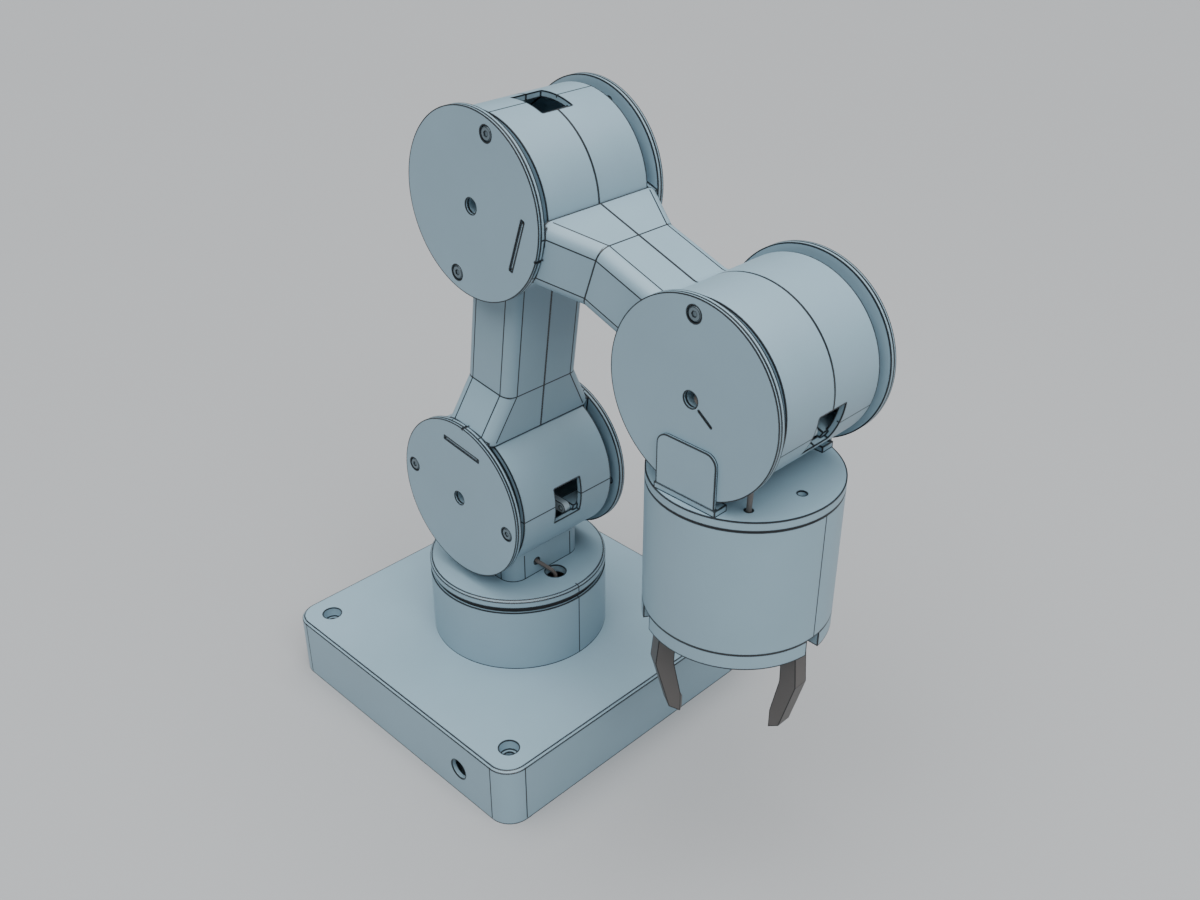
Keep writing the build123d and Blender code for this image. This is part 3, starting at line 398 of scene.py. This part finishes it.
# %% Floor
floor_width = 30.0
floor_depth = 30.0
sheet = bmesh.new()
near_corners = [sheet.verts.new((x, -floor_depth / 2, 0)) for x in (-floor_width / 2, floor_width / 2)]
near_edge = sheet.edges.new(near_corners)
grown = bmesh.ops.extrude_edge_only(sheet, edges=[near_edge])
far_corners = [v for v in grown["geom"] if isinstance(v, bmesh.types.BMVert)]
bmesh.ops.translate(sheet, verts=far_corners, vec=(0, floor_depth, 0))
bmesh.ops.recalc_face_normals(sheet, faces=sheet.faces)
floor_mesh = bpy.data.meshes.new("floor")
sheet.to_mesh(floor_mesh)
sheet.free()
floor = bpy.data.objects.new("floor", floor_mesh)
bpy.context.scene.collection.objects.link(floor)
floor_paper = finish_material("pale floor", (0.35, 0.36, 0.37, 1), 0.7, tone_spread=0.02, cloud_scale=1.5,
                              line=(0.6, 0.6, 0.6, 1))
floor_mesh.materials.append(floor_paper)
print("floor:", floor_width, "by", floor_depth, "m,", len(floor_mesh.polygons), "face")

# %% [markdown]
# ## Light
# In the picture the tops are lightest, the faces on the camera's left are middle and those on its right are
# darkest. One broad light from high over the camera's side gives these tones. It is a sun lamp, which lights
# the whole floor evenly, with a very wide angle, which makes its shadows as soft as those of a studio's
# ceiling of lamps. A small weak light lower down reaches under the wrist, to the top of the gripper, and the
# floor throws some light back up at the sides. The surroundings add a little light, and the camera sees them
# in about the tone of the lit floor, so that the horizon is only a faint line in views from low down.

# %% Lights
def soft_light(name, place, target, size, power, kind="AREA"):
    """A soft light that looks at a target: a square lamp of a size in metres, or a sun of a wide angle."""
    data = bpy.data.lights.new(name, kind)
    if kind == "SUN":
        data.angle = size
    else:
        data.size = size
    data.energy = power
    lamp = bpy.data.objects.new(name, data)
    lamp.location = place
    lamp.rotation_euler = (Vector(target) - Vector(place)).to_track_quat("-Z", "Y").to_euler()
    bpy.context.scene.collection.objects.link(lamp)
    return lamp


middle = (0.08, 0, 0.16)
key_place = (0.65, -0.65, 4.0)
key_angle = math.radians(88)
key_strength = 5.4
front_place = (0.95, -0.3, 0.95)
front_size = 0.5
front_power = 3
key = soft_light("key", key_place, middle, key_angle, key_strength, kind="SUN")
front = soft_light("front", front_place, middle, front_size, front_power)
world = bpy.data.worlds.new("soft surroundings")
world.use_nodes = True
sky = world.node_tree
seen = add_node(sky, "ShaderNodeLightPath").outputs["Is Camera Ray"]
ambient = sky.nodes["Background"]
ambient.inputs["Color"].default_value = (0.8, 0.84, 0.9, 1)
ambient.inputs["Strength"].default_value = 0.16
backdrop = add_node(sky, "ShaderNodeBackground", {"Color": (0.64, 0.65, 0.665, 1), "Strength": 1.0})
choice = add_node(sky, "ShaderNodeMixShader", {0: seen, 1: ambient.outputs[0], 2: backdrop.outputs[0]})
sky.links.new(choice.outputs[0], sky.nodes["World Output"].inputs["Surface"])
bpy.context.scene.world = world
print("lights:", key.name, front.name)

# %% [markdown]
# ## Camera
# The camera stands where the picture was taken from: in front of the arm on its right, looking down by some
# thirty degrees. Its place and lens were found by fitting the edges of the base and the discs.

# %% Camera
azimuth = math.radians(44.96)
elevation = math.radians(30.6)
camera_place = (0.4723, -0.4029, 0.5231)
sensor_width = 36.0
picture_width = 1200.0
focal_length_in_pixels = 1249.6
back = Vector((math.sin(azimuth) * math.cos(elevation), -math.cos(azimuth) * math.cos(elevation),
               math.sin(elevation)))
right = Vector((math.cos(azimuth), math.sin(azimuth), 0))
up = back.cross(right)
camera_data = bpy.data.cameras.new("camera")
camera_data.sensor_width = sensor_width
camera_data.lens = sensor_width * focal_length_in_pixels / picture_width
camera = bpy.data.objects.new("camera", camera_data)
camera.matrix_world = Matrix((
    (right.x, up.x, back.x, camera_place[0]),
    (right.y, up.y, back.y, camera_place[1]),
    (right.z, up.z, back.z, camera_place[2]),
    (0, 0, 0, 1),
))
bpy.context.scene.collection.objects.link(camera)
bpy.context.scene.camera = camera
print("lens:", round(camera_data.lens, 2), "mm")
